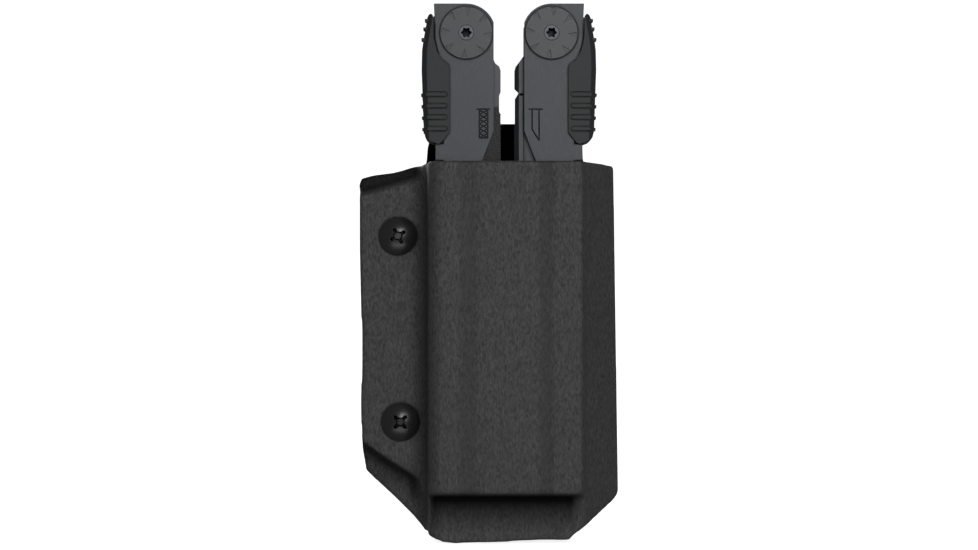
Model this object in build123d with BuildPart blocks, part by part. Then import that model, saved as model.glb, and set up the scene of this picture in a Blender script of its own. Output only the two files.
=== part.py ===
"""Multi tool carried in a folded plastic sheath with a belt clip.

Frame: +Z up along the closed tool, front towards -Y, origin at the middle of the foot of the
whole object. Depths below are counted from the middle plane of the tool, negative to the front.
Widths marked u are counted outwards from the middle of the tool, so one number serves both sides.
"""
import os
from math import cos, hypot, radians, sin

from build123d import *

os.makedirs("parts", exist_ok=True)

# ---- driving dimensions (mm) ----
TOOL_X = 4.7             # middle of the tool, right of the middle of the sheath
TOOL_Y = -6.1            # middle plane of the tool, ahead of the middle of the whole depth
TOP_Z = 127.6            # top of the handles
FOOT_Z = 14.4            # lower end of the handles

# handles: folded steel channels
HALF_DEPTH = 7.5         # middle plane to the outside of a handle
PLATE = 1.2              # sheet thickness
INNER_U = 3.6            # inner edge of a handle
WAIST_U = 6.3            # inner edge where the handle is cut back to bare its blade
OUTER_U = 17.3           # outer edge of a handle
BEVEL_U, BEVEL_Y = 2.0, 4.0
RECESS_U = 16.0          # outer edge beside the lock slide
PIVOT_U, PIVOT_Z = 10.05, 120.7
CROWN_R = 6.9            # round end of a handle about its pivot
BROW_U = 17.7            # outer edge of a handle over the lock slide
AXLE_R = 2.0
SHANK_R = 1.45           # pivot screw inside the axle
ENGRAVE_W, ENGRAVE_H = 0.28, 0.35        # width and depth of the engraved tool icons
RUN_CLEAR = 0.05         # radial clearance of what turns on an axle
DISC_R, DISC_H = 6.3, 0.55
NOTCH_H = 0.25           # depth of the wedge notches in a disc

# layers across a handle: (front, rear) depth of each
BLADE_LAYER = (-6.1, -4.6)
LINER_LAYER = (-4.3, -3.3)
FIRST_LAYER = (-2.9, -1.1)
SECOND_LAYER = (-0.8, 1.4)
THIRD_LAYER = (1.7, 4.7)

# lock slides
SLIDE_U = 20.6
SLIDE_LOW_U = 20.1       # its outer edge draws in towards the foot
SLIDE_INNER_U = 14.0
SLIDE_DEPTH = 8.2
SLIDE_GAP = 0.1
SLIDE_RIBS_Z = (106.1, 103.4, 100.7, 98.0)

# long blades
FILE_U = 1.92            # inner edge of the file
TOOTH_H, TOOTH_PITCH = 0.18, 0.6
TEETH, TEETH_TOP = 115, 102.4

# short implements
SHORT_R = 23.2           # pivot to tip of the longest short implement

# pliers head
HEAD_FRONT, HEAD_REAR = -4.2, 4.8
HEAD_SPLIT = 0.3         # depth where the two half-lapped hubs meet
NOSE_Z = 2.4
JAW_PIVOT_Z = 40.0
HUB_R = 9.0
ARM_U, ARM_Z = 9.6, 64.0
THUMB_LOW, THUMB_HIGH = 58.0, 72.0
THUMB_U = 15.1           # outer side of the thumb block, inside the handle
THUMB_LAYER = (-3.8, 4.3)

# sheath: one folded sheet
SHEET = 1.5
SEAM = 0.2               # gap between the two layers at the flange
FRONT_Y = -9.4           # outside of the front panel
BACK_Y = 9.9             # outside of the back panel
BLOCK_Y = -6.1           # outside of the shallow block round the nose
HALF_WIDTH = 31.4
MOUTH_Z = 90.6
TAB_Z = 100.3            # top of the back panel behind the tool
WALL_X = -14.4           # left wall of the pocket
# (x, depth) where the right wall of the ridge meets the slope to the fold, outside and inside
SHOULDER, INNER_SHOULDER = (22.9, -5.6), (22.0, -4.2)
VALLEY_H = 0.35          # depth of the two valleys down the front
FOLD_LOW, FOLD_LEAN = 33.61, 0.0191     # outside of the fold at the foot, and its lean per mm
FLANGE_Y = BACK_Y - 2 * SHEET - SEAM     # outside of the front layer where it lies on the back one
PLATEAU_Y = FLANGE_Y - 2.1               # outside of the front layer round the screws

# screws and belt clip
SCREWS = {"upper": (-21.9, 73.0, 30), "lower": (-21.3, 28.3, 45)}   # x, z, turn of the recess
SCREW_HEAD_R, SCREW_HEAD_H = 4.65, 2.4
RECESS_H = 1.6           # depth of the cross recess
SCREW_R, POST_R = 1.9, 2.6
WASHER_H = 1.0
CLIP_X = (-28.8, -14.3)
CLIP_Z = (21.5, 82.0)
CLIP_SHEET = 2.2
CLIP_REAR_Y = 21.6


def level(z):
    """Horizontal plane at height z, centred on the depth of the tool."""
    return Plane(origin=(0, TOOL_Y, z))


def facing(depth):
    """Upright plane at a depth, seen from the front: X to the right, Z up."""
    return Plane(origin=(0, TOOL_Y + depth, 0), x_dir=(1, 0, 0), z_dir=(0, -1, 0))


def across(side, u):
    """X of a width u on the left (-1) or right (1) half of the tool."""
    return TOOL_X + side * u


def sided(side, points):
    """Points (u, z) turned into (x, z) on one side of the tool."""
    return [(across(side, u), z) for u, z in points]


def plate(points, front, rear, mode=Mode.ADD):
    """Extrude a closed outline of (x, z) points between two depths."""
    with BuildSketch(facing(rear)) as shape:
        with BuildLine():
            Polyline(*points, close=True)
        make_face()
    extrude(shape.sketch, amount=rear - front, mode=mode)


def rod(x, z, radius, front, rear, mode=Mode.ADD):
    """A round bar or hole along the depth."""
    with BuildSketch(facing(rear)) as shape:
        with Locations((x, z)):
            Circle(radius)
    extrude(shape.sketch, amount=rear - front, mode=mode)


def save(piece, name):
    piece.part.label = name
    export_step(piece.part, f"parts/{name}.step")


# ---- handles ----
def handle_section(side):
    """Closed section of the folded channel, as (x, depth) points."""
    flat = OUTER_U - BEVEL_U
    outside = [(INNER_U, -HALF_DEPTH), (flat, -HALF_DEPTH), (OUTER_U, -HALF_DEPTH + BEVEL_Y)]
    inside = [(OUTER_U - PLATE, -HALF_DEPTH + BEVEL_Y + 0.3), (flat - 0.75, PLATE - HALF_DEPTH),
              (INNER_U, PLATE - HALF_DEPTH)]
    rear_inside = [(u, -y) for u, y in reversed(inside)]
    rear_outside = [(u, -y) for u, y in reversed(outside)]
    points = outside + rear_outside + rear_inside + inside
    return [(across(side, u), y) for u, y in points]


def handle_outline(side):
    """Front view of a handle, from its lower inner corner up the inner edge and back down."""
    start = across(side, PIVOT_U), PIVOT_Z
    inner_top = (across(side, PIVOT_U - CROWN_R * cos(radians(10))), PIVOT_Z + CROWN_R * sin(radians(10)))
    arc_mid = (start[0] - side * CROWN_R * cos(radians(50)), PIVOT_Z + CROWN_R * sin(radians(50)))
    crown = (start[0], PIVOT_Z + CROWN_R)
    Polyline(*sided(side, [(INNER_U + 1.5, FOOT_Z), (INNER_U, FOOT_Z + 1.5), (INNER_U, 42.0),
                           (WAIST_U, 48.0), (WAIST_U, MOUTH_Z), (INNER_U, 97.6), (INNER_U, PIVOT_Z)]),
             inner_top)
    ThreePointArc(inner_top, arc_mid, crown)
    notch = sided(side, [(OUTER_U, 119.2), (RECESS_U + 0.7, 116.6), (RECESS_U, 114.2)])
    brow = sided(side, [(BROW_U, TOP_Z), (BROW_U - 0.1, 125.0), (OUTER_U, 122.6)])
    Polyline(crown, *brow, notch[0])
    ThreePointArc(*notch)
    Polyline(notch[2], *sided(side, [(RECESS_U, 94.9), (OUTER_U, 94.4), (OUTER_U, FOOT_Z + 2.5),
                                     (OUTER_U - 2.5, FOOT_Z), (INNER_U + 1.5, FOOT_Z)]))


def file_icon():
    """Lines of a cross-cut file under a bar, as pairs of (u, z) ends."""
    left, right, top, foot = 7.0, 5.0, 102.7, 95.9
    lines = [((7.7, top), (4.5, top)), ((left, top), (left, foot)), ((right, top), (right, foot)),
             ((left, foot), (right, foot))]
    for step in range(6):
        high, low = top - 0.2 - 1.1 * step, top - 1.3 - 1.1 * step
        lines += [((left, high), (right, low)), ((right, high), (left, low))]
    return lines


def knife_icon():
    """Lines of a knife blade under a bar, as pairs of (u, z) ends."""
    edge, back, top = 5.45, 7.1, 102.7
    point = (back, 95.3)
    return [((4.6, top), (8.0, top)), ((edge, top), (edge, 97.9)), ((edge, 97.9), point),
            ((back, top), point)]


def engrave(side, lines):
    """Cut a set of fine lines into the front of a handle."""
    with BuildSketch(facing(ENGRAVE_H - HALF_DEPTH)) as cuts:
        for (u0, z0), (u1, z1) in lines:
            half = ENGRAVE_W / 2 / hypot(u1 - u0, z1 - z0)
            over_u, over_z = (z0 - z1) * half, (u1 - u0) * half
            with BuildLine():
                Polyline(*sided(side, [(u0 + over_u, z0 + over_z), (u1 + over_u, z1 + over_z),
                                       (u1 - over_u, z1 - over_z), (u0 - over_u, z0 - over_z)]),
                         close=True)
            make_face()
    extrude(cuts.sketch, amount=1, mode=Mode.SUBTRACT)


def make_handle(side, name, icon):
    with BuildPart() as handle:
        with BuildSketch(level(FOOT_Z)):
            with BuildLine():
                Polyline(*handle_section(side), close=True)
            make_face()
        extrude(amount=TOP_Z - FOOT_Z)
        # flat shoulders beside the pivot, narrower at the rear
        for outer, front in ((BROW_U, -HALF_DEPTH), (OUTER_U - 0.9, HALF_DEPTH - PLATE)):
            plate(sided(side, [(13.0, 114.3), (outer, 114.3), (outer, TOP_Z), (13.0, TOP_Z)]),
                  front, front + PLATE)
        # square corners that stop on the mouth of the sheath
        for front, rear in ((-HALF_DEPTH, -4.6), (4.9, HALF_DEPTH)):
            plate(sided(side, [(14.0, 90.75), (OUTER_U, 90.75), (OUTER_U, 94.4), (14.0, 94.4)]),
                  front, rear)
        with BuildSketch(facing(HALF_DEPTH)):
            with BuildLine():
                handle_outline(side)
            make_face()
        extrude(amount=2 * HALF_DEPTH, mode=Mode.INTERSECT)
        # the upper part of the outer wall is open for the short implements
        web = sided(side, [(12.9, 94.4), (OUTER_U + 1, 94.4), (OUTER_U + 1, TOP_Z + 1), (12.9, TOP_Z + 1)])
        plate(web, PLATE - HALF_DEPTH, HALF_DEPTH - PLATE, mode=Mode.SUBTRACT)
        # slot in the outer wall for the thumb slide
        slot = sided(side, [(13.0, 16.6), (OUTER_U + 1, 16.6), (OUTER_U + 1, 73.0), (13.0, 73.0)])
        plate(slot, -3.2, 3.2, mode=Mode.SUBTRACT)
        rod(across(side, PIVOT_U), PIVOT_Z, AXLE_R, -9, 9, mode=Mode.SUBTRACT)
        engrave(side, icon)
    save(handle, name)


# ---- pivots ----
def make_pivot(side, word):
    x = across(side, PIVOT_U)
    with BuildPart() as axle:
        rod(x, PIVOT_Z, AXLE_R, -HALF_DEPTH, HALF_DEPTH)
        rod(x, PIVOT_Z, SHANK_R + RUN_CLEAR, -HALF_DEPTH, 2.0, mode=Mode.SUBTRACT)
    save(axle, f"{word}_axle")

    for place, start, end in (("front", -HALF_DEPTH - DISC_H, -HALF_DEPTH),
                              ("back", HALF_DEPTH, HALF_DEPTH + DISC_H)):
        outer_face = start if place == "front" else end
        with BuildPart() as disc:
            rod(x, PIVOT_Z, DISC_R, start, end)
            rim = disc.edges().filter_by(GeomType.CIRCLE).filter_by(
                lambda e: abs(e.center().Y - TOOL_Y - outer_face) < 0.01)
            chamfer(rim, 0.2)
            if place == "front":
                rod(x, PIVOT_Z, 1.8, start, end, mode=Mode.SUBTRACT)
            # eight wedge notches round the rim
            forward = 1 if place == "front" else -1
            with BuildSketch(facing(outer_face + forward * NOTCH_H)):
                with Locations((x, PIVOT_Z)):
                    with PolarLocations(0, 8, start_angle=-5):
                        Polygon((3.9, 0), (5.9, -0.62), (5.9, 0.62), align=None)
            extrude(amount=forward, mode=Mode.SUBTRACT)
        save(disc, f"{word}_{place}_disc")

    head_front, head_rear = -HALF_DEPTH - DISC_H - 0.15, -HALF_DEPTH
    with BuildPart() as screw:
        rod(x, PIVOT_Z, 1.72, head_front, head_rear)
        rod(x, PIVOT_Z, SHANK_R, head_rear, 1.5)
        # six-lobe socket
        with BuildSketch(facing(head_rear + 2.4)):
            with Locations((x, PIVOT_Z)):
                Circle(0.95)
                with PolarLocations(0.93, 6):
                    Circle(0.32)
        extrude(amount=4, mode=Mode.SUBTRACT)
    save(screw, f"{word}_pivot_screw")

    with BuildPart() as washers:
        gaps = [(-6.28, -6.12), (-4.55, -4.35), (-3.25, -2.95), (-1.05, -0.85), (1.45, 1.65), (4.75, 6.28)]
        for front, rear in gaps:
            rod(x, PIVOT_Z, 3.0, front, rear)
            rod(x, PIVOT_Z, AXLE_R, front, rear, mode=Mode.SUBTRACT)
    save(washers, f"{word}_pivot_washers")

    with BuildPart() as liner:
        outline = sided(side, [(6.6, 78.0), (15.2, 78.0), (15.2, 92.0), (13.2, 97.0), (14.4, 118.0),
                               (14.4, 126.0), (5.5, 126.0), (4.2, 122.0), (4.2, 98.0), (6.6, 92.0)])
        plate(outline, *LINER_LAYER)
        rod(x, PIVOT_Z, AXLE_R, -9, 9, mode=Mode.SUBTRACT)
    save(liner, f"{word}_liner")


# ---- long blades, folded along the inner edges ----
def make_blade(side, name, outline, front_bevel):
    with BuildPart() as blade:
        plate(sided(side, outline), *BLADE_LAYER)
        rod(across(side, PIVOT_U), PIVOT_Z, 5.6, *BLADE_LAYER)
        rod(across(side, PIVOT_U), PIVOT_Z, AXLE_R + RUN_CLEAR, -9, 9, mode=Mode.SUBTRACT)
        if front_bevel:
            # ground edge along the inner side
            with BuildSketch(Plane(origin=(0, TOOL_Y, 20))):
                with BuildLine():
                    edge, front = across(side, 0.9), BLADE_LAYER[0]
                    Polyline((edge, front - 0.2), (edge + side * 1.6, front - 0.2), (edge, front + 1.9),
                             close=True)
                make_face()
            extrude(amount=95, mode=Mode.SUBTRACT)
            # flats relieved beside the handle, up to a cross groove at the heel
            relief = [(3.35, 55.0), (3.35, 106.0), (2.5, 106.0), (2.5, 106.5), (10.0, 106.5), (10.0, 55.0)]
            plate(sided(side, relief), BLADE_LAYER[0] - 1, BLADE_LAYER[0] + 0.7, mode=Mode.SUBTRACT)
        else:
            # file teeth: shallow cross cuts over the working face
            with BuildSketch(facing(BLADE_LAYER[0] + TOOTH_H)) as cuts:
                for step in range(TEETH):
                    z = TEETH_TOP - TOOTH_PITCH * step
                    with BuildLine():
                        Polyline(*sided(side, [(1.8, z), (9.4, z + 3.0), (9.4, z + 3.0 + TOOTH_PITCH / 2),
                                               (1.8, z + TOOTH_PITCH / 2)]), close=True)
                    make_face()
            extrude(cuts.sketch, amount=1, mode=Mode.SUBTRACT)
    save(blade, name)


# the inner edge of the file is a saw: a small notch at every tooth
SAW = [(FILE_U + notch, TEETH_TOP - 0.9 - TOOTH_PITCH * (step + share))
       for step in range(TEETH) for notch, share in ((0.0, 0.0), (0.0, 0.3), (0.2, 0.65))]
FILE_OUTLINE = ([(9.9, 115.2), (5.0, 117.5), (3.2, 113.6), (2.3, 112.9), (1.95, 111.9), (1.95, 106.9),
                 (2.3, 106.0), (2.3, 102.2)] + SAW +
                [(FILE_U, 28.5), (3.0, 27.6), (9.2, 27.6), (10.0, 28.4), (10.0, 112.0)])
KNIFE_OUTLINE = [(9.9, 115.2), (5.0, 117.5), (2.2, 113.6), (1.6, 112.9), (1.3, 111.9), (1.3, 107.6),
                 (2.3, 106.6), (1.4, 105.2), (1.4, 99.4), (1.0, 98.0), (1.0, 40.0), (1.6, 34.0),
                 (3.4, 29.6), (6.4, 26.4), (10.0, 24.6), (10.6, 30.0), (10.6, 112.0)]


# ---- lock slides on the outer edges ----
def slide_edge(z):
    """Outer edge of a lock slide at height z, between its foot and its shoulder."""
    return SLIDE_LOW_U + (SLIDE_U - SLIDE_LOW_U) * (z - 97.5) / (112.0 - 97.5)


def bar(side, low_u, high_u, z, half, front, rear, mode=Mode.ADD):
    """A level bar across a lock slide with a round inner end."""
    plate(sided(side, [(low_u, z - half), (low_u, z + half), (high_u, z + half), (high_u, z - half)]),
          front, rear, mode=mode)
    rod(across(side, low_u), z, half, front, rear, mode=mode)


def make_lock_slide(side, name):
    outline = [(18.3, 125.2), (18.9, 125.0), (19.3, 124.2), (19.5, 122.8), (19.85, 120.8),
               (20.2, 118.8), (20.5, 116.6), (SLIDE_U, 112.0), (SLIDE_LOW_U, 97.5), (19.7, 96.0),
               (19.1, 95.4), (16.7, 94.45), (16.1, 94.6), (SLIDE_INNER_U, 97.2),
               (SLIDE_INNER_U, 112.6), (14.5, 113.5), (15.8, 114.3), (17.0, 116.5), (17.7, 119.4),
               (17.85, 124.6)]
    with BuildPart() as slide:
        plate(sided(side, outline), -SLIDE_DEPTH, SLIDE_DEPTH)
        # rounded outer corners, front and rear
        chamfer(slide.edges().filter_by(lambda e: abs(e.center().Y - TOOL_Y) > SLIDE_DEPTH - 0.01
                                        and side * (e.center().X - TOOL_X) > 20.15), 1.2)
        inner = HALF_DEPTH + SLIDE_GAP
        for z in SLIDE_RIBS_Z:
            # a raised bar in a shallow moat, running out over the edge
            outer = slide_edge(z)
            bar(side, 15.15, outer - 1.3, z, 0.72, -SLIDE_DEPTH, 0.3 - SLIDE_DEPTH, mode=Mode.SUBTRACT)
            bar(side, 15.15, outer - 0.9, z, 0.36, -SLIDE_DEPTH - 0.28, 0.4 - SLIDE_DEPTH)
            edge_rib = sided(side, [(19.0, z - 0.5), (19.0, z + 0.5), (outer + 0.35, z + 0.3),
                                    (outer + 0.35, z - 0.3)])
            plate(edge_rib, -6.9, 6.9)
        # three studs up the arm
        for u, z in ((19.4, 123.7), (19.75, 121.7), (20.2, 119.2)):
            stud = sided(side, [(u - 0.9, z - 0.45), (u - 0.9, z + 0.4), (u + 0.45, z + 0.25),
                                (u + 0.45, z - 0.3)])
            plate(stud, -7.4, -3.4)
        # pocket round the handle, deeper at the foot where the outer wall begins
        pocket = sided(side, [(13.0, 98.0), (16.3, 98.0), (16.3, 114.6), (17.2, 118.0), (13.0, 118.0)])
        foot = sided(side, [(13.0, 94.0), (17.5, 94.0), (17.5, 98.0), (13.0, 98.0)])
        plate(pocket, -inner, inner, mode=Mode.SUBTRACT)
        plate(foot, -inner, inner, mode=Mode.SUBTRACT)
        # long slot for the short implements to swing through
        slot = sided(side, [(13.0, 97.1), (22.0, 97.1), (22.0, 126.0), (13.0, 126.0)])
        plate(slot, -3.1, 4.95, mode=Mode.SUBTRACT)
        # the rear arm reaches in behind the gap beside the handle
        rear_arm = sided(side, [(16.7, 113.0), (16.7, 125.3), (17.2, 126.0), (17.9, 126.0), (18.4, 125.3),
                                (18.4, 113.0)])
        plate(rear_arm, 4.95, SLIDE_DEPTH - 0.1)
    save(slide, name)


# ---- short implements ----
def make_short(side, name, outline, layer, tang_r=4.4):
    with BuildPart() as tool:
        plate(sided(side, outline), *layer)
        rod(across(side, PIVOT_U), PIVOT_Z, tang_r, *layer)
        rod(across(side, PIVOT_U), PIVOT_Z, AXLE_R + RUN_CLEAR, -9, 9, mode=Mode.SUBTRACT)
    save(tool, name)


def flat_driver(half_shank, half_tip):
    """Outline of a flat screwdriver hanging from its tang."""
    foot = PIVOT_Z - SHORT_R
    low = [(PIVOT_U - half_tip, foot), (PIVOT_U + half_tip, foot)]
    return ([(PIVOT_U - 3.6, PIVOT_Z - 1), (PIVOT_U - 3.6, PIVOT_Z - 6.5),
             (PIVOT_U - half_shank, PIVOT_Z - 8.5), (PIVOT_U - half_shank, foot + 5)] + low +
            [(PIVOT_U + half_shank, foot + 5), (PIVOT_U + half_shank, PIVOT_Z - 8.5),
             (PIVOT_U + 3.6, PIVOT_Z - 6.5), (PIVOT_U + 3.6, PIVOT_Z - 1)])


def hook(height, mouth):
    """Outline of a hooked opener hanging from its tang, mouth towards the outer edge."""
    foot = PIVOT_Z - height
    return [(PIVOT_U - 3.8, PIVOT_Z - 1), (PIVOT_U - 4.2, PIVOT_Z - 8), (PIVOT_U - 3.6, foot + 3),
            (PIVOT_U - 0.6, foot), (PIVOT_U + 3.4, foot + 0.8), (PIVOT_U + 4.4, foot + 3.2),
            (PIVOT_U + 2.6, foot + 3.4), (PIVOT_U + 0.2, foot + 3.8), (PIVOT_U - 0.4, foot + 4.2 + mouth),
            (PIVOT_U + 2.2, foot + 5.4 + mouth), (PIVOT_U + 3.8, foot + 7.2 + mouth),
            (PIVOT_U + 3.8, PIVOT_Z - 1)]


def make_lanyard_ring(side):
    x, z = across(side, PIVOT_U), PIVOT_Z - 11.6
    with BuildPart() as ring:
        rod(x, PIVOT_Z, 4.2, *THIRD_LAYER)
        plate([(x - 2.4, PIVOT_Z), (x + 2.4, PIVOT_Z), (x + 2.4, z + 4), (x - 2.4, z + 4)], 1.9, 4.5)
        rod(x, z, 6.0, 1.9, 4.5)
        rod(x, z, 3.9, 0, 6, mode=Mode.SUBTRACT)
        rod(x, PIVOT_Z, AXLE_R + RUN_CLEAR, 0, 6, mode=Mode.SUBTRACT)
    save(ring, "lanyard_ring")


def make_phillips(side):
    x, foot = across(side, PIVOT_U), PIVOT_Z - SHORT_R
    middle = (THIRD_LAYER[0] + THIRD_LAYER[1]) / 2
    with BuildPart() as driver:
        rod(x, PIVOT_Z, 4.4, *THIRD_LAYER)
        plate([(x - 3.4, PIVOT_Z), (x + 3.4, PIVOT_Z), (x + 1.8, PIVOT_Z - 9), (x - 1.8, PIVOT_Z - 9)],
              *THIRD_LAYER)
        with BuildSketch(Plane(origin=(x, TOOL_Y + middle, foot))):
            Circle(0.7)
        with BuildSketch(Plane(origin=(x, TOOL_Y + middle, foot + 3.0))):
            Circle(1.5)
        loft()
        with BuildSketch(Plane(origin=(x, TOOL_Y + middle, foot + 3.0))):
            Circle(1.5)
        extrude(amount=SHORT_R - 11)
        # four flutes of the point
        with BuildSketch(Plane(origin=(x, TOOL_Y + middle, foot - 1))):
            with PolarLocations(1.45, 4, start_angle=45):
                Circle(0.62)
        extrude(amount=5.5, mode=Mode.SUBTRACT)
        rod(x, PIVOT_Z, AXLE_R + RUN_CLEAR, 0, 6, mode=Mode.SUBTRACT)
    save(driver, "phillips_driver")


# ---- pliers head ----
def make_jaw(side, word):
    own = (HEAD_FRONT, HEAD_SPLIT - 0.05) if side < 0 else (HEAD_SPLIT + 0.05, HEAD_REAR)
    other = (HEAD_SPLIT - 0.05, HEAD_REAR) if side < 0 else (HEAD_FRONT, HEAD_SPLIT + 0.05)
    nose = [(0.05, NOSE_Z), (3.2, NOSE_Z + 0.2), (4.5, 5.4), (7.0, 14.0), (9.6, 26.0), (10.8, 33.0),
            (10.8, 38.0), (0.05, 38.0)]
    arm = [(6.0, 34.0), (10.8, 36.0), (11.4, 44.0), (12.6, 52.0), (12.6, 66.8), (6.6, 66.8),
           (6.6, 52.0), (3.0, 46.0)]
    with BuildPart() as jaw:
        plate(sided(side, nose), HEAD_FRONT, HEAD_REAR)
        # gripping teeth
        for step in range(8):
            z = 5.0 + 1.7 * step
            tooth = sided(side, [(-0.1, z), (0.5, z + 0.45), (-0.1, z + 0.9)])
            plate(tooth, HEAD_FRONT, HEAD_REAR, mode=Mode.SUBTRACT)
        # pocket for the cutter insert
        plate(sided(side, [(-0.1, 22.5), (2.2, 22.5), (2.2, 29.5), (-0.1, 29.5)]), -3.0, 3.6,
              mode=Mode.SUBTRACT)
        plate(sided(side, arm), -1.5, 2.1)
        rod(TOOL_X, JAW_PIVOT_Z, HUB_R + 0.25, *other, mode=Mode.SUBTRACT)
        rod(TOOL_X, JAW_PIVOT_Z, HUB_R, *own)
        rod(TOOL_X, JAW_PIVOT_Z, 3.0, HEAD_FRONT, HEAD_REAR, mode=Mode.SUBTRACT)
        rod(across(side, ARM_U), ARM_Z, 1.5, -3, 3, mode=Mode.SUBTRACT)
    save(jaw, f"{word}_jaw")

    with BuildPart() as insert:
        plate(sided(side, [(0.05, 22.5), (2.2, 22.5), (2.2, 29.5), (0.05, 29.5)]), -3.0, 3.6)
        chamfer(insert.edges().filter_by(Axis.Z).filter_by(
            lambda e: abs(e.center().X - across(side, 0.05)) < 0.01), 1.2)
    save(insert, f"{word}_cutter_insert")

    with BuildPart() as thumb:
        block = sided(side, [(6.9, 57.0), (THUMB_U, 57.0), (THUMB_U, 73.0), (6.9, 73.0)])
        pad = sided(side, [(THUMB_U, THUMB_LOW), (17.15, THUMB_LOW + 0.8), (17.15, THUMB_HIGH - 0.8),
                           (THUMB_U, THUMB_HIGH)])
        plate(block, *THUMB_LAYER)
        plate(pad, -2.9, 2.9)
        # grooves across the thumb pad
        for step in range(5):
            z = THUMB_LOW + 2.6 + 2.2 * step
            plate(sided(side, [(16.7, z), (17.4, z), (17.4, z + 0.8), (16.7, z + 0.8)]), -3, 3,
                  mode=Mode.SUBTRACT)
        # clevis slot for the arm, and its pin hole
        plate(sided(side, [(6.5, 56.0), (12.9, 56.0), (12.9, 67.1), (6.5, 67.1)]), -1.6, 2.2,
              mode=Mode.SUBTRACT)
        rod(across(side, ARM_U), ARM_Z, 1.5, -5, 5, mode=Mode.SUBTRACT)
    save(thumb, f"{word}_thumb_slide")

    with BuildPart() as pin:
        rod(across(side, ARM_U), ARM_Z, 1.5, *THUMB_LAYER)
    save(pin, f"{word}_arm_pin")


# ---- sheath ----
# sections up the pocket: height, outside of the front, outside of the flange, right edge of the
# front, radius of the left corner
BLOCK = (BLOCK_Y, FLANGE_Y, 22.3, 3.3)
RIDGE = (FRONT_Y, PLATEAU_Y, 22.1, 3.6)
STATIONS = [(-2.5, *BLOCK), (9.4, *BLOCK), (10.7, -6.5, 5.8, 22.1, 3.6), (11.4, -7.3, 4.9, 21.7, 3.9),
            (12.2, *RIDGE), (TAB_Z + 1, *RIDGE)]
STEP_DROP = 1.2          # the inside of the step lies this much higher than its outside

FRONT_EDGE = [(-31.4, 85.1), (-31.2, 86.3), (-30.8, 86.9), (-30.0, 87.2), (-27.5, 87.8), (-23.9, 88.2),
              (-21.5, 88.7), (-19.1, 89.5), (-17.4, 89.9), (-14.9, 90.5), (-12.0, MOUTH_Z),
              (22.3, MOUTH_Z), (25.9, 90.3), (29.2, 90.1), (34.0, 89.8)]
BACK_EDGE = FRONT_EDGE[:9] + [(-15.4, 90.2), (-14.4, TAB_Z - 1.2), (-13.2, TAB_Z), (21.4, TAB_Z),
                              (22.6, TAB_Z - 1.2), (22.9, MOUTH_Z)] + FRONT_EDGE[12:]
FOOT_EDGE = [(34.0, 13.6), (31.0, 10.7), (29.9, 9.3), (26.6, 6.9), (23.1, 4.3), (20.1, 2.2), (19.0, 0.9),
             (12.0, 0.85), (-8.0, 0.0), (-11.0, 0.45), (-12.8, 1.1), (-14.1, 1.7), (-15.4, 2.1),
             (-17.9, 5.1), (-20.3, 7.5), (-22.7, 9.9), (-25.1, 12.1), (-27.5, 14.3), (-28.7, 15.5),
             (-29.7, 16.5), (-30.2, 19.4), (-30.7, 22.3), (-30.9, 33.0), (-30.7, 42.0), (-30.7, 50.0),
             (-31.0, 60.0), (-31.3, 70.0), (-31.3, 84.5)]
STEP_TAPER = 40          # degrees of the slope from the raised flange to its edge
# where the front layer lies down on the back one: below the raised flange, and above it
LOW_CORNER = [(-33.5, 24.2), (-26.7, 18.8), (-23.6, 16.9), (-20.2, 15.2), (-19.0, 14.4), (-19.0, -2.0),
              (-33.5, -2.0)]
TOP_EDGE = [(-33.5, 83.8), (-27.5, 85.4), (-22.6, 86.7), (-18.0, 88.2), (-18.0, 100.0), (-33.5, 100.0)]


def fold_x(z):
    """Outside of the folded edge, leaning in towards the top."""
    return FOLD_LOW - FOLD_LEAN * z


def outer_section(z, front, flange, right, corner_r):
    """Outside of the folded sheet at height z, with two shallow valleys down its front."""
    foot = (WALL_X - 0.5, flange)
    dip = front + VALLEY_H
    points = [(-HALF_WIDTH - 1, BACK_Y), (-HALF_WIDTH - 1, flange), foot, (WALL_X, front),
              (-7.5, front), (-4.2, dip), (-1.5, front), (10.5, front), (13.4, dip), (15.8, front),
              (right, front), SHOULDER, (fold_x(z), BACK_Y)]
    rounds = [(points[2], 4.2), (points[3], corner_r), (points[10], 0.6), (points[11], 0.5),
              (points[12], 2.4)]
    return rounded_section(z, points, rounds)


def inner_section(z, front, flange, right, corner_r):
    """Space inside the folded sheet at height z."""
    front, flange, rear = front + SHEET, flange + SHEET, BACK_Y - SHEET
    left = WALL_X + SHEET
    dip = front + VALLEY_H / 3
    points = [(-HALF_WIDTH - 1, rear), (-HALF_WIDTH - 1, flange), (left - 0.5, flange), (left, front),
              (-7.5, front), (-4.2, dip), (-1.5, front), (10.5, front), (13.4, dip), (15.8, front),
              (right - 1.2, front), INNER_SHOULDER, (fold_x(z) - 2.6, rear)]
    rounds = [(points[2], 5.7), (points[3], corner_r - SHEET), (points[10], 0.3), (points[11], 0.5),
              (points[12], 1.0)]
    return rounded_section(z, points, rounds)


def rounded_section(z, points, rounds):
    with BuildSketch(level(z)) as section:
        with BuildLine():
            Polyline(*points, close=True)
        make_face()
        for corner, radius in rounds:
            fillet(section.vertices().sort_by_distance((*corner, 0))[0], radius)
    return section.sketch.face()


def lie_down(points, base, spread):
    """Sloping space in front of the flange where its front layer lies on the back one."""
    with BuildPart() as space:
        with BuildSketch(facing(base)) as shape:
            with BuildLine():
                Polyline(*points, close=True)
            make_face()
            if spread:
                offset(amount=spread)
        extrude(shape.sketch, amount=3.0, taper=-STEP_TAPER)
    return space.part


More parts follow.
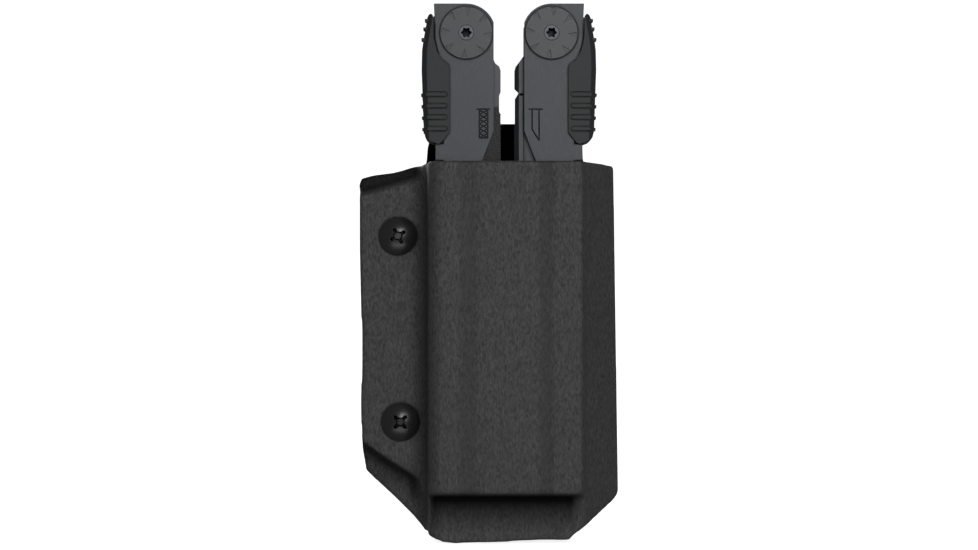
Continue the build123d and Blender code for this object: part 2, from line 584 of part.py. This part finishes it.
def folded(section, base, rise, spread):
    """Solid of the pocket seen from outside or inside: nose block, step, ridge and flange."""
    with BuildPart() as solid:
        for (low_z, *low), (high_z, *high) in zip(STATIONS, STATIONS[1:]):
            loft(sections=[section(low_z + rise, *low), section(high_z + rise, *high)], ruled=True)
        for points in (LOW_CORNER, TOP_EDGE):
            add(lie_down(points, base, spread), mode=Mode.SUBTRACT)
    return solid.part


def make_sheath():
    outer = folded(outer_section, FLANGE_Y, 0, 0)
    inner = folded(inner_section, FLANGE_Y + SHEET, STEP_DROP, 0.47 * SHEET)
    with BuildPart() as sheath:
        add(outer)
        add(inner, mode=Mode.SUBTRACT)
        # trimmed outline of the back layer, then of the front layer
        plate(BACK_EDGE + FOOT_EDGE, -12, 12, mode=Mode.INTERSECT)
        above = FRONT_EDGE + [(34.0, 110), (-33.0, 110)]
        plate(above, -12, BACK_Y - SHEET - SEAM / 2, mode=Mode.SUBTRACT)
        for x, z, _ in SCREWS.values():
            rod(x, z, SCREW_HEAD_R + 0.15, 0, PLATEAU_Y, mode=Mode.SUBTRACT)
            rod(x, z, POST_R + 0.1, -2, 12, mode=Mode.SUBTRACT)
    save(sheath, "sheath_shell")


# ---- screws, washers, nuts and belt clip ----
def make_fastener(word, x, z, turn):
    with BuildPart() as screw:
        with BuildSketch(Plane(origin=(x, TOOL_Y, z), x_dir=(1, 0, 0), z_dir=(0, 0, 1))):
            with BuildLine():
                seat, top = PLATEAU_Y, PLATEAU_Y - SCREW_HEAD_H
                rim = seat - 0.5
                ThreePointArc((SCREW_HEAD_R, rim), (SCREW_HEAD_R * 0.66, top + 0.75), (0, top))
                Polyline((0, top), (0, 12.6), (SCREW_R, 12.6), (SCREW_R, seat), (SCREW_HEAD_R - 0.1, seat),
                         (SCREW_HEAD_R, rim))
            make_face()
        revolve(axis=Axis((x, 0, z), (0, 1, 0)))
        # cross recess with round arms and soft inner corners
        with BuildSketch(facing(PLATEAU_Y - SCREW_HEAD_H + RECESS_H)) as recess:
            with Locations((x, z)):
                Circle(1.1)
                SlotOverall(4.3, 0.95, rotation=turn)
                SlotOverall(4.3, 0.95, rotation=turn + 90)
            inner = recess.vertices().filter_by(lambda v: hypot(v.X - x, v.Y - z) < 1.15)
            fillet(inner, 0.35)
        extrude(recess.sketch, amount=RECESS_H + 1, mode=Mode.SUBTRACT)
        # low boss in the middle of the recess
        rod(x, z, 0.8, PLATEAU_Y - SCREW_HEAD_H + 0.9, PLATEAU_Y - SCREW_HEAD_H + RECESS_H + 0.2)
    save(screw, f"{word}_screw")

    with BuildPart() as nut:
        rod(x, z, POST_R, 5.0, 14.3)
        rod(x, z, 4.75, 13.1, 14.3)
        rod(x, z, SCREW_R, 4.0, 12.9, mode=Mode.SUBTRACT)
        with BuildSketch(facing(14.4)):
            with Locations((x, z)):
                SlotOverall(6.0, 1.0)
        extrude(amount=0.6, mode=Mode.SUBTRACT)
    save(nut, f"{word}_post_nut")

    rings = (("spacer", PLATEAU_Y + SHEET, BACK_Y - SHEET), ("rubber_washer", BACK_Y, BACK_Y + WASHER_H))
    for name, front, rear in rings:
        with BuildPart() as ring:
            rod(x, z, 5.0, front, rear)
            rod(x, z, POST_R + 0.1, front, rear, mode=Mode.SUBTRACT)
        save(ring, f"{word}_{name}")


def make_belt_clip():
    front = BACK_Y + WASHER_H
    low, high = CLIP_Z
    rear = CLIP_REAR_Y
    gap_rear = rear - 2.4
    with BuildPart() as clip:
        with BuildSketch(Plane(origin=(CLIP_X[0], TOOL_Y, 0), x_dir=(0, 1, 0), z_dir=(1, 0, 0))):
            with BuildLine():
                Polyline((front, low), (front + CLIP_SHEET, low), (front + CLIP_SHEET, high - 3.6),
                         (front + CLIP_SHEET + 1.2, high - 2.4), (gap_rear - 1.2, high - 2.4),
                         (gap_rear, high - 3.6), (gap_rear, low + 5.0), (gap_rear - 2.2, low + 3.0),
                         (gap_rear - 2.2, low + 1.8), (gap_rear, low - 1.0), (rear, low + 1.5),
                         (rear, high - 2.4), (rear - 2.4, high), (front + 1.5, high), (front, high - 1.5),
                         close=True)
            make_face()
        extrude(amount=CLIP_X[1] - CLIP_X[0])
        for x, z, _ in SCREWS.values():
            rod(x, z, POST_R + 0.1, front - 1, front + CLIP_SHEET + 1, mode=Mode.SUBTRACT)
    save(clip, "belt_clip")


for hand, word, icon in ((-1, "left", file_icon()), (1, "right", knife_icon())):
    make_handle(hand, f"{word}_handle", icon)
    make_pivot(hand, word)
    make_lock_slide(hand, f"{word}_lock_slide")
    make_jaw(hand, word)
make_blade(-1, "file_blade", FILE_OUTLINE, front_bevel=False)
make_blade(1, "knife_blade", KNIFE_OUTLINE, front_bevel=True)
make_short(-1, "small_driver", flat_driver(1.6, 1.3), FIRST_LAYER)
make_short(-1, "large_driver", flat_driver(2.9, 2.5), SECOND_LAYER)
make_lanyard_ring(-1)
make_short(1, "can_opener", hook(20.5, 1.0), FIRST_LAYER)
make_short(1, "bottle_opener", hook(22.5, 3.4), SECOND_LAYER)
make_phillips(1)
with BuildPart() as jaw_pin:
    rod(TOOL_X, JAW_PIVOT_Z, 3.0, HEAD_FRONT, HEAD_REAR)
save(jaw_pin, "jaw_pivot_pin")
make_sheath()
for word, (x, z, turn) in SCREWS.items():
    make_fastener(word, x, z, turn)
make_belt_clip()
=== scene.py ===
"""Looks of the multi tool and its belt sheath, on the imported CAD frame.

Everything is in metres, in the frame that the CAD shares: +Z up, front towards -Y. Lengths that
read better in millimetres are written as a number times MM.
"""
from math import cos, pi, sin

import bmesh
import bpy
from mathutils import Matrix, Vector

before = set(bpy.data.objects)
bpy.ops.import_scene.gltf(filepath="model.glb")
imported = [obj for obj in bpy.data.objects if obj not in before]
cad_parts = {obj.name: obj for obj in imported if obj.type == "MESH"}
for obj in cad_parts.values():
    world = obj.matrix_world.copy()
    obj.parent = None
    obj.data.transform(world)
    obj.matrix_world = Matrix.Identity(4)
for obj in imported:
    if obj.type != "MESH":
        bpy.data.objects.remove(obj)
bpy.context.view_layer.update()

MM = 0.001

# ---- camera ----
CAMERA_PLACE = (0.0, -583.5 * MM, 63.6 * MM)
CAMERA_NEAR = 50 * MM
LENS = 89.0              # focal length for the default 36 mm sensor
OBJECT_MIDDLE = Vector((0.0, -6 * MM, 62 * MM))

# ---- where things are, in millimetres as the materials count ----
TOOL_X = 4.7             # middle of the tool
PIVOT_U = 10.05          # each pivot stands this far beside the middle of the tool
PIVOT_Z = 120.7
VALLEYS = ((-5.0, 2.6), (13.4, 2.2))     # middle and half width of the valleys down the sheath
RIDGE_Y = -14.0          # the front of the ridge lies ahead of this depth
TEETH_TOP = 103.0        # top of the file's teeth
SHADED_INSIDE_Y = 2.0           # the inside faces of the back panel behind this depth are painted near black, as shade

# Painted shade in the creases of the sheath. Four places say where it starts, is full, thins out and ends.
STEP_SHADE_Z = (2.5, 10.2, 11.3, 12.0)
STEP_SHADE_X = (-15.5, -13.0, 19.5, 22.5)
STEP_FRONT_Y = -11.0
FLANGE_END_X = (-17.8, -15.8)            # the flange thins out into the pocket between these
FLANGE_FRONT_Y = -2.5
FOOT_SLOPE, FOOT_SHADE = 0.677, (-5.0, 1.6, 2.6, 3.4)
HEAD_SLOPE, HEAD_SHADE = -0.284, (90.8, 92.6, 99.0, 99.5)

# ---- forming of the sheath ----
FORMED_GRID = 0.55       # millimetres between points; too coarse for the 0.2 mm flange seam, which closes
EASE_SHARE, EASE_ROUNDS = 0.5, 6

# ---- file teeth ----
TOOTH_LEANS = (-1.1, 0.9)
TOOTH_HALF_PITCH = 0.26

COOL = (0.88, 0.97, 1.13)                # share of red, green and blue in the bluish coatings


def grey(value, tint=(1.0, 1.0, 1.0)):
    """An opaque colour of one brightness, leaning towards a tint."""
    return (*(value * share for share in tint), 1.0)


def scaled(colour, share):
    """The same colour made brighter or darker."""
    return (*(part * share for part in colour[:3]), 1.0)


class Graph:
    """A material's node tree, with short calls for the nodes used here."""

    def __init__(self, name, **surface):
        self.material = bpy.data.materials.new(name)
        self.material.use_nodes = True
        self.tree = self.material.node_tree
        self.surface = self.tree.nodes["Principled BSDF"]
        self.set(**surface)

    def feed(self, socket, value):
        """Link an output to a socket, or set the socket's own value."""
        if isinstance(value, bpy.types.NodeSocket):
            self.tree.links.new(value, socket)
        else:
            socket.default_value = value

    def set(self, **values):
        """Plain or linked values on the surface shader."""
        for socket, value in values.items():
            self.feed(self.surface.inputs[socket.replace("_", " ")], value)

    def add(self, kind, sockets=(), **settings):
        """A new node with its settings made and its sockets fed from (socket, value) pairs."""
        made = self.tree.nodes.new(kind)
        for key, value in settings.items():
            setattr(made, key, value)
        for socket, value in sockets:
            self.feed(made.inputs[socket], value)
        return made

    def place(self, stretch=(1.0, 1.0, 1.0)):
        """The point on the piece in millimetres, drawn out along each axis by the stretch."""
        source = self.add("ShaderNodeTexCoord").outputs["Object"]
        scale = tuple(1 / MM / length for length in stretch)
        return self.add("ShaderNodeMapping", [("Vector", source), ("Scale", scale)]).outputs[0]

    def axes(self):
        """The X, Y and Z of the point on the piece, in millimetres."""
        return self.add("ShaderNodeSeparateXYZ", [(0, self.place())]).outputs

    def noise(self, where, size, detail=3.0, rough=0.55, warp=0.0):
        """Fractal noise from 0 to 1, with features of about that size in millimetres."""
        return self.add("ShaderNodeTexNoise", [
            ("Vector", where), ("Scale", 1 / size), ("Detail", detail), ("Roughness", rough),
            ("Distortion", warp)]).outputs["Fac"]

    def span(self, value, low, high, to_low=0.0, to_high=1.0):
        """One range mapped onto another and clamped."""
        return self.add("ShaderNodeMapRange", [
            ("Value", value), ("From Min", low), ("From Max", high), ("To Min", to_low),
            ("To Max", to_high)]).outputs[0]

    def band(self, value, start, full, fall, end):
        """0 up to the start, 1 from full to fall, and 0 again from the end on."""
        return self.maths("MULTIPLY", self.span(value, start, full), self.span(value, fall, end, 1.0, 0.0))

    def maths(self, operation, *values):
        """One arithmetic operation on numbers or outputs."""
        return self.add("ShaderNodeMath", list(enumerate(values)), operation=operation).outputs[0]

    def mix(self, share, first, second):
        """Two colours mixed by a share from 0 to 1."""
        made = self.add("ShaderNodeMix", data_type="RGBA")
        for socket, value in (("Factor_Float", share), ("A_Color", first), ("B_Color", second)):
            self.feed(next(i for i in made.inputs if i.identifier == socket), value)
        return next(o for o in made.outputs if o.identifier == "Result_Color")

    def rounded(self, radius):
        """A normal that rounds every edge by that radius in millimetres."""
        return self.add("ShaderNodeBevel", [("Radius", radius * MM)], samples=6).outputs[0]

    def wear(self, normal, low, high):
        """1 on edges, where a rounded normal leaves the flat one, and 0 on flats."""
        flat = self.add("ShaderNodeNewGeometry").outputs["Normal"]
        turn = self.add("ShaderNodeVectorMath", [(0, normal), (1, flat)],
                        operation="DOT_PRODUCT").outputs["Value"]
        return self.span(self.maths("SUBTRACT", 1.0, turn), low, high)

    def unshaded_share(self, reach, low=0.35, high=0.95):
        """1 in the open and 0 in corners closer than that reach in millimetres: the mask for shade painted
        into corners and gaps.
        """
        seen = self.add("ShaderNodeAmbientOcclusion", [("Distance", reach * MM)], samples=8).outputs["AO"]
        return self.span(seen, low, high)

    def bump(self, height, depth, normal):
        """A normal bumped by a height from 0 to 1 over that depth in millimetres."""
        return self.add("ShaderNodeBump", [("Height", height), ("Distance", depth * MM),
                                           ("Strength", 1.0), ("Normal", normal)]).outputs[0]


# ---- finishes ----
def painted_valley_shade(graph, axes, body):
    """Painted shade down the valleys of the sheath's front, so that they lie darker than the ridges."""
    for middle, half in VALLEYS:
        off = graph.maths("ABSOLUTE", graph.maths("SUBTRACT", axes["X"], middle))
        valley_shade = graph.maths("MULTIPLY", graph.span(off, half * 0.4, half, 0.42, 0.0),
                           graph.maths("LESS_THAN", axes["Y"], RIDGE_Y))
        body = graph.mix(valley_shade, body, grey(0.012))
    return body


def painted_crease_shade(graph, axes):
    """Share of painted shade: under the step, and along both ends of the raised flange."""
    step = graph.maths("MULTIPLY", graph.band(axes["Z"], *STEP_SHADE_Z), graph.band(axes["X"], *STEP_SHADE_X))
    step = graph.maths("MULTIPLY", step, graph.maths("LESS_THAN", axes["Y"], STEP_FRONT_Y))
    foot = graph.band(graph.maths("MULTIPLY_ADD", axes["X"], FOOT_SLOPE, axes["Z"]), *FOOT_SHADE)
    head = graph.band(graph.maths("MULTIPLY_ADD", axes["X"], HEAD_SLOPE, axes["Z"]), *HEAD_SHADE)
    flange = graph.maths("MULTIPLY", graph.span(axes["X"], *FLANGE_END_X, 1.0, 0.0),
                         graph.maths("GREATER_THAN", axes["Y"], FLANGE_FRONT_Y))
    ends = graph.maths("MULTIPLY", graph.maths("MAXIMUM", foot, head), graph.maths("MULTIPLY", flange, 0.75))
    return graph.maths("MAXIMUM", graph.maths("MULTIPLY", step, 0.95), ends)


def painted_dark_inside(graph, axes):
    """1 on the inside of the back panel, which is painted near black as shade, and 0 elsewhere."""
    facing = graph.add("ShaderNodeSeparateXYZ", [
        (0, graph.add("ShaderNodeTexCoord").outputs["Normal"])]).outputs
    return graph.maths("MULTIPLY", graph.maths("GREATER_THAN", axes["Y"], SHADED_INSIDE_Y),
                       graph.maths("LESS_THAN", facing["Y"], -0.5))


def sheath_plastic():
    """Black thermoplastic sheet with leather grain drawn out up and down; shade is painted into its hollows
    and inside.
    """
    graph = Graph("sheath_plastic")
    fibre = graph.noise(graph.place(stretch=(1.0, 1.0, 2.8)), 0.40, detail=4, rough=0.7, warp=0.6)
    pebble = graph.noise(graph.place(stretch=(1.0, 1.0, 2.0)), 0.6, detail=2, rough=0.5, warp=0.3)
    height = graph.maths("MULTIPLY_ADD", pebble, 0.2, graph.maths("MULTIPLY", fibre, 0.8))
    broad = graph.noise(graph.place(stretch=(1.0, 1.0, 1.6)), 9.0, detail=3)
    rounded = graph.rounded(0.5)
    axes = graph.axes()
    body = graph.mix(graph.span(height, 0.38, 0.62), grey(0.021), grey(0.072))
    body = graph.mix(graph.span(broad, 0.35, 0.65, 0.0, 0.25), body, grey(0.034))
    # painted shade down the valleys of the front
    body = painted_valley_shade(graph, axes, body)
    shade_share = painted_crease_shade(graph, axes)
    # painted shade, near black, under the step and along both ends of the flange
    body = graph.mix(shade_share, body, grey(0.002))
    worn = graph.maths("MULTIPLY", graph.wear(rounded, 0.03, 0.35), graph.span(fibre, 0.35, 0.62))
    body = graph.mix(graph.maths("MULTIPLY", worn, 0.5), body, grey(0.10))
    # painted shade: near black in the sheath's corners and creases
    body = graph.mix(graph.unshaded_share(1.8, 0.35, 0.85), grey(0.004), body)
    # painted shade: the inside of the back panel is near black and has no sheen
    inside = painted_dark_inside(graph, axes)
    # no sheen on the inside of the back panel, nor where the crease shade is painted
    graph.set(Base_Color=graph.mix(inside, body, grey(0.001)),
              Roughness=graph.span(height, 0.35, 0.65, 0.68, 0.5),
              Specular_IOR_Level=graph.span(graph.maths("MAXIMUM", inside, shade_share), 0.0, 1.0, 0.36, 0.0),
              Normal=graph.bump(height, 0.16, rounded))
    return graph.material


def coated_steel(name, colour, worn_colour, roughness, metal, grain=0.18, brushed=1.0, wear_width=0.12,
                 wear_share=0.7, depth=0.008, reach=1.0):
    """Blasted or brushed steel under a dark coating that is worn along its edges, with shade painted into
    its corners.
    """
    graph = Graph(name, Metallic=metal)
    speckle = graph.noise(graph.place(), grain, detail=2, rough=0.6)
    strokes = graph.noise(graph.place(stretch=(1.0, 1.0, brushed)), grain * 1.6, detail=3)
    broad = graph.noise(graph.place(), 6.0, detail=3)
    height = graph.maths("MULTIPLY_ADD", speckle, 0.5, graph.maths("MULTIPLY", strokes, 0.5))
    rounded = graph.rounded(wear_width)
    rubbed = graph.maths("MULTIPLY", graph.wear(rounded, 0.02, 0.3), graph.span(broad, 0.3, 0.6, 0.5, 1.0))
    shade = scaled(colour, 0.84)
    body = graph.mix(graph.span(height, 0.35, 0.65), shade, scaled(colour, 1.14))
    body = graph.mix(graph.span(broad, 0.3, 0.7, 0.0, 0.35), body, shade)
    body = graph.mix(graph.maths("MULTIPLY", rubbed, wear_share), body, worn_colour)
    # painted shade: near black and without sheen in corners and gaps closer than the reach
    lit_share = graph.unshaded_share(reach)
    graph.set(Base_Color=graph.mix(lit_share, grey(0.003), body),
              Specular_IOR_Level=graph.maths("MULTIPLY", lit_share, 0.5),
              Roughness=graph.span(height, 0.3, 0.7, roughness + 0.06, roughness - 0.06),
              Normal=graph.bump(height, depth, rounded))
    return graph.material


def file_steel():
    """The file: dark blued steel under a fine cross-hatch of brighter tooth tips, with shade painted into
    its toothed field.
    """
    graph = Graph("file_steel", Metallic=0.3)
    axes = graph.axes()
    tips = []
    for lean in TOOTH_LEANS:
        run = graph.maths("MULTIPLY_ADD", axes["X"], lean, axes["Z"])
        tips.append(graph.maths("PINGPONG", run, TOOTH_HALF_PITCH))
    cross = graph.span(graph.maths("MULTIPLY", *tips), 0.012, 0.042)
    rubbed = graph.span(graph.noise(graph.place(), 1.8, detail=4), 0.35, 0.65, 0.4, 1.0)
    # teeth only below the tang
    toothed = graph.span(axes["Z"], TEETH_TOP, TEETH_TOP + 0.6, 1.0, 0.0)
    cross = graph.maths("MULTIPLY", graph.maths("MULTIPLY", cross, rubbed), toothed)
    rounded = graph.rounded(0.08)
    # painted shade: the toothed field, down in the recess beside the handle, is near black
    plain = graph.mix(toothed, grey(0.038, COOL), grey(0.003))
    body = graph.mix(cross, plain, grey(0.085))
    # painted shade: near black in corners
    graph.set(Base_Color=graph.mix(graph.unshaded_share(0.8), grey(0.004), body), Roughness=0.42,
              Normal=graph.bump(cross, 0.06, rounded))
    return graph.material


def disc_steel():
    """The pivot discs: the handle coating over fine rings turned about each pivot."""
    graph = Graph("disc_steel", Metallic=0.1)
    axes = graph.axes()
    from_middle = graph.maths("ABSOLUTE", graph.maths("SUBTRACT", axes["X"], TOOL_X))
    across = graph.maths("SUBTRACT", from_middle, PIVOT_U)
    up = graph.maths("SUBTRACT", axes["Z"], PIVOT_Z)
    radius = graph.maths("SQRT", graph.maths("ADD", graph.maths("POWER", across, 2.0),
                                             graph.maths("POWER", up, 2.0)))
    rings = graph.add("ShaderNodeTexNoise", [("W", radius), ("Scale", 9.0), ("Detail", 2.0)],
                      noise_dimensions="1D").outputs["Fac"]
    speckle = graph.noise(graph.place(), 0.2, detail=2)
    height = graph.maths("MULTIPLY_ADD", rings, 0.35, graph.maths("MULTIPLY", speckle, 0.65))
    rounded = graph.rounded(0.1)
    body = graph.mix(graph.span(height, 0.35, 0.65), grey(0.029, COOL), grey(0.043, COOL))
    body = graph.mix(graph.maths("MULTIPLY", graph.wear(rounded, 0.02, 0.3), 0.5), body, grey(0.17))
    # painted shade: dark in corners and gaps around the disc
    graph.set(Base_Color=graph.mix(graph.unshaded_share(0.6), grey(0.012), body),
              Roughness=graph.span(height, 0.3, 0.7, 0.5, 0.38),
              Normal=graph.bump(height, 0.008, rounded))
    return graph.material


def moulded_plastic(name, colour, roughness, grain=0.22, depth=0.012, edge=0.15, lift=1.7):
    """Fine-textured moulded plastic or rubber, a little polished along its edges, with shade painted into
    its corners.
    """
    graph = Graph(name, Specular_IOR_Level=0.45)
    texture = graph.noise(graph.place(), grain, detail=3, rough=0.6)
    broad = graph.noise(graph.place(), 5.0, detail=2)
    rounded = graph.rounded(edge)
    shade = scaled(colour, 0.82)
    body = graph.mix(graph.span(texture, 0.35, 0.65), shade, scaled(colour, 1.15))
    body = graph.mix(graph.span(broad, 0.35, 0.7, 0.0, 0.4), body, shade)
    body = graph.mix(graph.wear(rounded, 0.03, 0.35), body, scaled(colour, lift))
    # painted shade: near black in corners and gaps
    graph.set(Base_Color=graph.mix(graph.unshaded_share(0.8, 0.5, 0.96), grey(0.006), body),
              Roughness=graph.span(texture, 0.3, 0.7, roughness + 0.05, roughness - 0.07),
              Normal=graph.bump(texture, depth, rounded))
    return graph.material


FINISHES = {
    "file": file_steel(),
    "sheath": sheath_plastic(),
    "clip": moulded_plastic("clip_nylon", grey(0.026), 0.5),
    "rubber": moulded_plastic("washer_rubber", grey(0.018), 0.78, grain=0.3),
    "screw_black": coated_steel("screw_oxide", grey(0.012), grey(0.30), 0.3, 0.0, grain=0.3,
                                wear_width=0.1, wear_share=0.6, reach=1.2),
    "handle_coat": coated_steel("handle_coating", grey(0.048, COOL), grey(0.09, COOL), 0.5, 0.1,
                                brushed=5.0, reach=0.6),
    "disc_coat": disc_steel(),
    "grip": moulded_plastic("grip_plastic", grey(0.0155, COOL), 0.6),
    "blade_steel": coated_steel("blade_coating", grey(0.042, COOL), grey(0.08, COOL), 0.46, 0.2,
                                brushed=4.0),
    "jaw_steel": coated_steel("jaw_coating", grey(0.11, COOL), grey(0.32), 0.42, 0.6),
    "carbide": coated_steel("carbide", grey(0.32), grey(0.5), 0.3, 0.9),
    "pivot_steel": coated_steel("pivot_steel", grey(0.075, COOL), grey(0.14), 0.42, 0.3, wear_width=0.06,
                                reach=1.6),
}


def finish_nodes():
    """Every CAD node takes the finish of its material slot, and the file its own."""
    for name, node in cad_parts.items():
        for place in node.material_slots:
            finish = FINISHES["file" if name == "file_blade" else place.material.name]
            place.link = "OBJECT"
            place.material = finish


def form_sheath():
    """Round the rims and corners of the sheath softly, as on hot-formed sheet."""
    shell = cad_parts["sheath_shell"]
    remade = shell.modifiers.new("formed", "REMESH")
    remade.mode = "VOXEL"
    remade.voxel_size = FORMED_GRID * MM
    remade.use_smooth_shade = True
    eased = shell.modifiers.new("eased", "SMOOTH")
    eased.factor = EASE_SHARE
    eased.iterations = EASE_ROUNDS


# ---- studio ----
def make_sweep():
    """Round pale floor that curves up into a wall on every side."""
    radius, bend, height, steps, around = 1.5, 0.5, 2.2, 12, 72
    profile = [(radius - bend, 0.0)]
    profile += [(radius - bend * (1 - sin(turn)), bend * (1 - cos(turn)))
                for turn in (pi / 2 * step / steps for step in range(1, steps))]
    profile += [(radius, bend), (radius, height)]
    mesh = bpy.data.meshes.new("sweep")
    shape = bmesh.new()
    rows = [[shape.verts.new((r * cos(2 * pi * k / around), r * sin(2 * pi * k / around), z))
             for k in range(around)] for r, z in profile]
    shape.faces.new(rows[0])
    for low, high in zip(rows, rows[1:]):
        for k in range(around):
            after = (k + 1) % around
            shape.faces.new((low[k], low[after], high[after], high[k])).smooth = True
    shape.to_mesh(mesh)
    shape.free()
    sweep = bpy.data.objects.new("sweep", mesh)
    bpy.context.scene.collection.objects.link(sweep)
    graph = Graph("sweep_paper", Roughness=0.9, Emission_Color=grey(1.0), Emission_Strength=0.85)
    paper = graph.noise(graph.place(), 1.4, detail=3)
    graph.set(Base_Color=graph.mix(paper, grey(0.90), grey(0.93)))
    sweep.data.materials.append(graph.material)
    sweep.visible_diffuse = False
    sweep.visible_glossy = False
    sweep.visible_shadow = False


def make_light(name, place, size, power, height=None):
    """A soft box aimed at the middle of the object, square unless given a height."""
    lamp = bpy.data.lights.new(name, "AREA")
    lamp.shape = "RECTANGLE"
    lamp.size = size
    lamp.size_y = height or size
    lamp.energy = power
    light = bpy.data.objects.new(name, lamp)
    light.location = place
    light.rotation_euler = (OBJECT_MIDDLE - light.location).to_track_quat("-Z", "Y").to_euler()
    bpy.context.scene.collection.objects.link(light)
    return light


def make_lights():
    """A key light, a weak side light, a low reflector and a fill for the back."""
    make_light("key", (0.16, -0.90, 0.34), 0.42, 4.6)
    make_light("side", (1.0, -0.45, 0.35), 0.4, 0.4)
    # a low reflector that only shows as a sheen
    reflector = make_light("reflector", (0.0, -0.55, -0.36), 0.7, 0.9, height=0.22)
    reflector.visible_diffuse = False
    make_light("rear_fill", (-0.55, 1.0, 0.5), 0.6, 4.0)


def make_world():
    """An even dim surround, shown without a film curve."""
    world = bpy.data.worlds.new("studio")
    world.use_nodes = True
    surround = world.node_tree.nodes["Background"]
    surround.inputs["Color"].default_value = grey(1.0)
    surround.inputs["Strength"].default_value = 0.18
    bpy.context.scene.world = world
    bpy.context.scene.view_settings.view_transform = "Standard"


def make_camera():
    """The camera, level and square to the front."""
    lens = bpy.data.cameras.new("camera")
    lens.lens = LENS
    lens.clip_start = CAMERA_NEAR
    camera = bpy.data.objects.new("camera", lens)
    camera.location = CAMERA_PLACE
    camera.rotation_euler = Vector((0, 1, 0)).to_track_quat("-Z", "Y").to_euler()
    bpy.context.scene.collection.objects.link(camera)
    bpy.context.scene.camera = camera


finish_nodes()
form_sheath()
make_sweep()
make_lights()
make_world()
make_camera()
